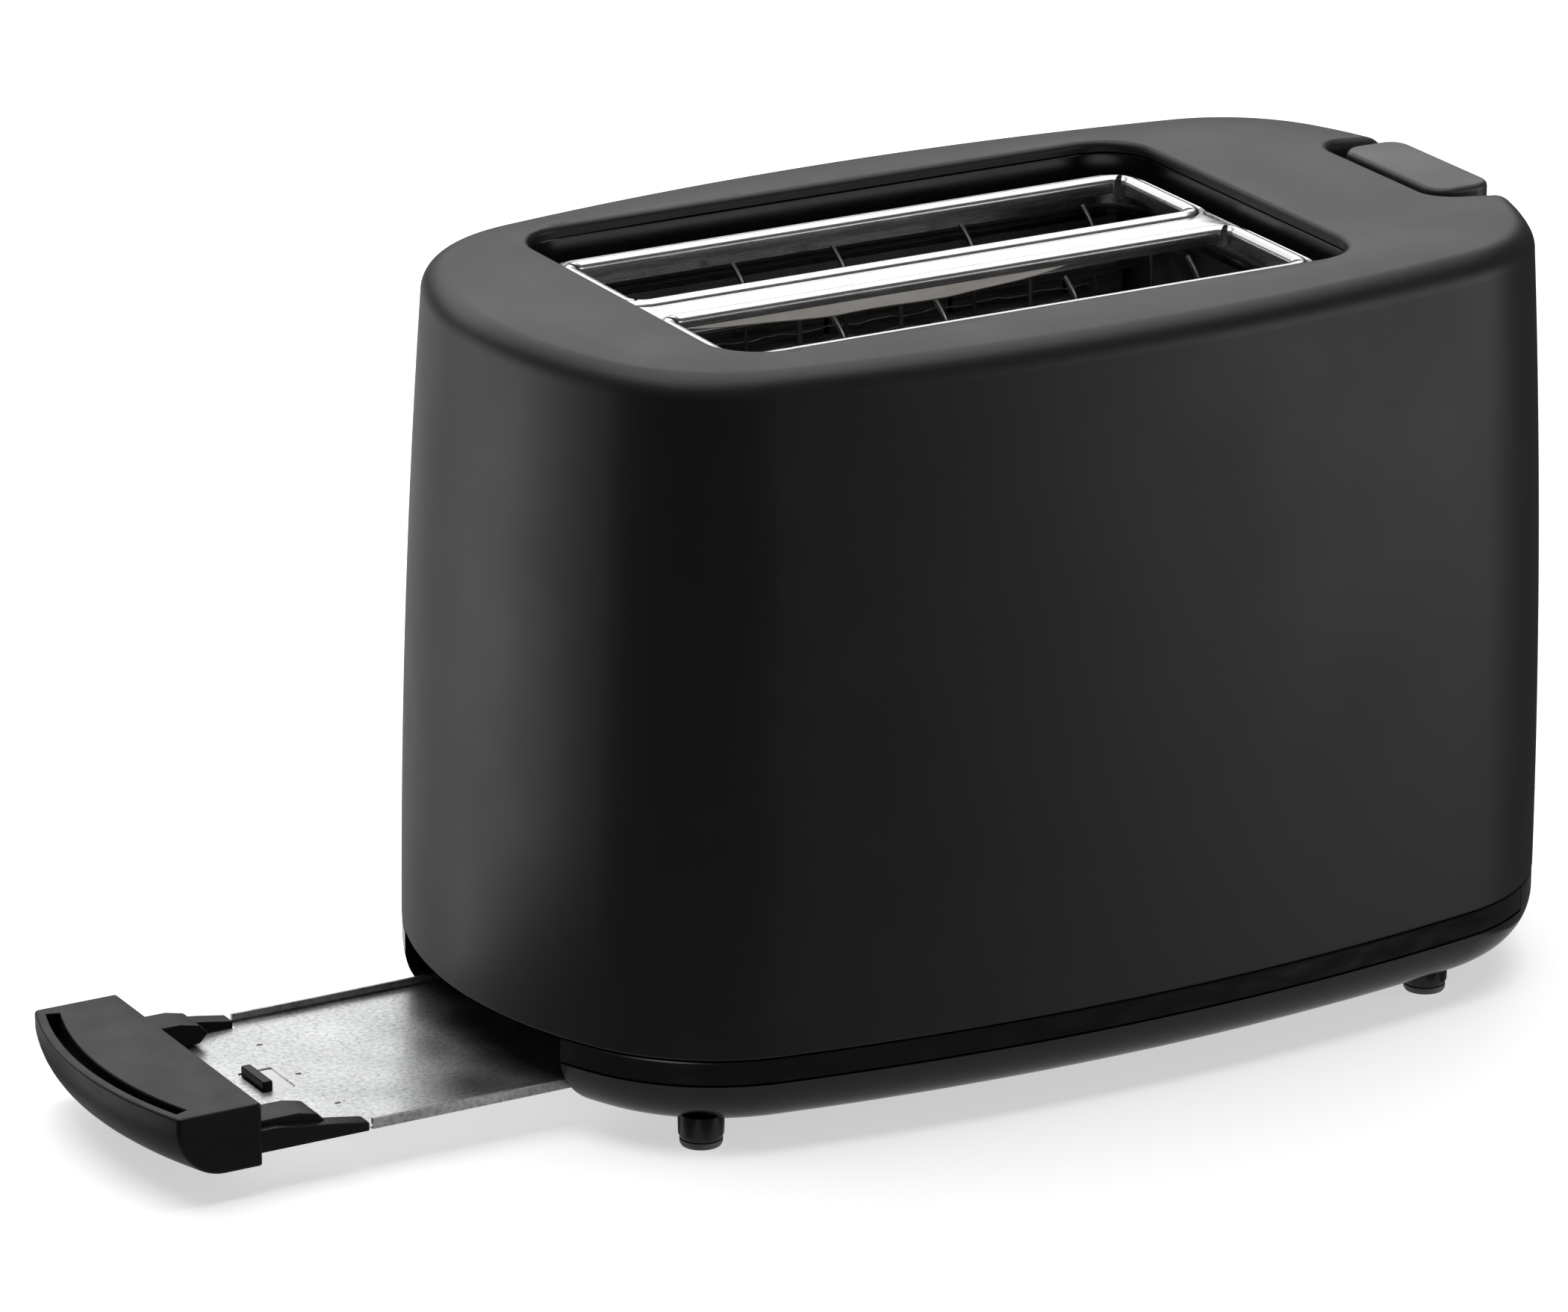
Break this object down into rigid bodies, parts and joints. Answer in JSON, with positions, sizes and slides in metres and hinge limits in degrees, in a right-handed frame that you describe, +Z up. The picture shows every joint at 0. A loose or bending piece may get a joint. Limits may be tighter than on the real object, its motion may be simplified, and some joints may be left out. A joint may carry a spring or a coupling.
{
  "type": "pop up toaster",
  "caption": "Pop-up toaster with a rounded matte black housing, sprung bread lever, closing bread guides, browning dial, push buttons and a slide-out crumb tray.",
  "frame": {"origin": "on the table under the middle of the object's box, with the crumb tray drawn out as at rest", "axes": "+X along the bread slots towards the lever, +Y across the slots, +Z up"},
  "size_m": [0.3596, 0.155, 0.1738],
  "materials": {
    "matte_black": "fine matte mould texture",
    "gloss_black": "polished moulding",
    "knob_grey": "satin moulding",
    "rubber_grey": "soft matte",
    "stainless": "bright satin sheet",
    "galvanised": "spangled zinc sheet",
    "dark_steel": "heat-darkened sheet",
    "mica": "dull layered board",
    "nichrome": "dull oxidised ribbon",
    "copper": "bare copper alloy",
    "board_green": "solder mask",
    "nylon": "natural nylon"
  },
  "bodies": {
    "chassis": {"housing_shell": "matte_black", "trench_liner": "gloss_black", "top_plate": "stainless", "base_skirt": "gloss_black", "bottom_pan": "gloss_black", "cord_inlet_bush": "knob_grey", "chassis_end_left": "galvanised", "chassis_end_lever": "galvanised", "mica_board_middle": "mica", "guide_rod": "stainless", "lift_spring": "stainless", "magnet_core": "dark_steel", "magnet_coil": "copper", "dial_potentiometer": "dark_steel", "control_board": "board_green", "contact_blade_front": "copper", "contact_blade_back": "copper", "terminal_block": "nylon", "foot_pad_1": "rubber_grey", "pan_screw_1": "galvanised", "foot_pad_2": "rubber_grey", "pan_screw_2": "galvanised", "foot_pad_3": "rubber_grey", "pan_screw_3": "galvanised", "foot_pad_4": "rubber_grey", "pan_screw_4": "galvanised", "reflector_front": "galvanised", "mica_board_front": "mica", "heater_ribbon_front": "nichrome", "heater_ribbon_middle_front": "nichrome", "slot_end_guide_front": "dark_steel", "reflector_back": "galvanised", "mica_board_back": "mica", "heater_ribbon_back": "nichrome", "heater_ribbon_middle_back": "nichrome", "slot_end_guide_back": "dark_steel", "switch_cancel": "nylon", "switch_reheat": "nylon", "switch_defrost": "nylon"},
    "lever": {"lever_knob": "knob_grey", "lever_arm": "galvanised", "carriage": "galvanised", "bread_rack_front": "stainless", "bread_rack_back": "stainless", "armature_plate": "dark_steel"},
    "guide_front_outer": {"bread_guide_front_outer": "stainless"},
    "guide_front_inner": {"bread_guide_front_inner": "stainless"},
    "guide_back_outer": {"bread_guide_back_outer": "stainless"},
    "guide_back_inner": {"bread_guide_back_inner": "stainless"},
    "dial": {"browning_dial": "knob_grey"},
    "cancel_button": {"button_cancel": "knob_grey"},
    "reheat_button": {"button_reheat": "knob_grey"},
    "defrost_button": {"button_defrost": "knob_grey"},
    "tray": {"crumb_tray": "galvanised", "tray_handle": "gloss_black"}
  },
  "joints": [
    {"name": "lever_slide", "type": "slide", "parent": "chassis", "child": "lever", "axis": [0, 0, -1], "range_m": [0, 0.075], "stiffness_N_per_m": 40, "springref_m": -0.06, "deforming": ["lift_spring"]},
    {"name": "guide_front_outer_hinge", "type": "hinge", "parent": "chassis", "child": "guide_front_outer", "pos_m": [0.0302, -0.0345, 0.041], "axis": [1, 0, 0], "range_deg": [-3, 0]},
    {"name": "guide_front_inner_hinge", "type": "hinge", "parent": "chassis", "child": "guide_front_inner", "pos_m": [0.0302, -0.0105, 0.041], "axis": [1, 0, 0], "range_deg": [0, 3]},
    {"name": "guide_back_inner_hinge", "type": "hinge", "parent": "chassis", "child": "guide_back_inner", "pos_m": [0.0302, 0.0105, 0.041], "axis": [1, 0, 0], "range_deg": [-3, 0]},
    {"name": "guide_back_outer_hinge", "type": "hinge", "parent": "chassis", "child": "guide_back_outer", "pos_m": [0.0302, 0.0345, 0.041], "axis": [1, 0, 0], "range_deg": [0, 3]},
    {"name": "dial_turn", "type": "hinge", "parent": "chassis", "child": "dial", "pos_m": [0.1732, 0, 0.046], "axis": [1, 0, 0], "range_deg": [-135, 135]},
    {"name": "cancel_press", "type": "slide", "parent": "chassis", "child": "cancel_button", "axis": [-1, 0, 0], "range_m": [0, 0.0016], "stiffness_N_per_m": 300, "springref_m": -0.002},
    {"name": "reheat_press", "type": "slide", "parent": "chassis", "child": "reheat_button", "axis": [-1, 0, 0], "range_m": [0, 0.0016], "stiffness_N_per_m": 300, "springref_m": -0.002},
    {"name": "defrost_press", "type": "slide", "parent": "chassis", "child": "defrost_button", "axis": [-1, 0, 0], "range_m": [0, 0.0016], "stiffness_N_per_m": 300, "springref_m": -0.002},
    {"name": "tray_slide", "type": "slide", "parent": "chassis", "child": "tray", "axis": [-1, 0, 0], "range_m": [-0.0912, 0.101]}
  ],
  "couplings": [
    {"joint": "guide_front_outer_hinge", "follows": "lever_slide", "rad_per_m": -0.6516},
    {"joint": "guide_front_inner_hinge", "follows": "lever_slide", "rad_per_m": 0.6516},
    {"joint": "guide_back_inner_hinge", "follows": "lever_slide", "rad_per_m": -0.6516},
    {"joint": "guide_back_outer_hinge", "follows": "lever_slide", "rad_per_m": 0.6516}
  ]
}
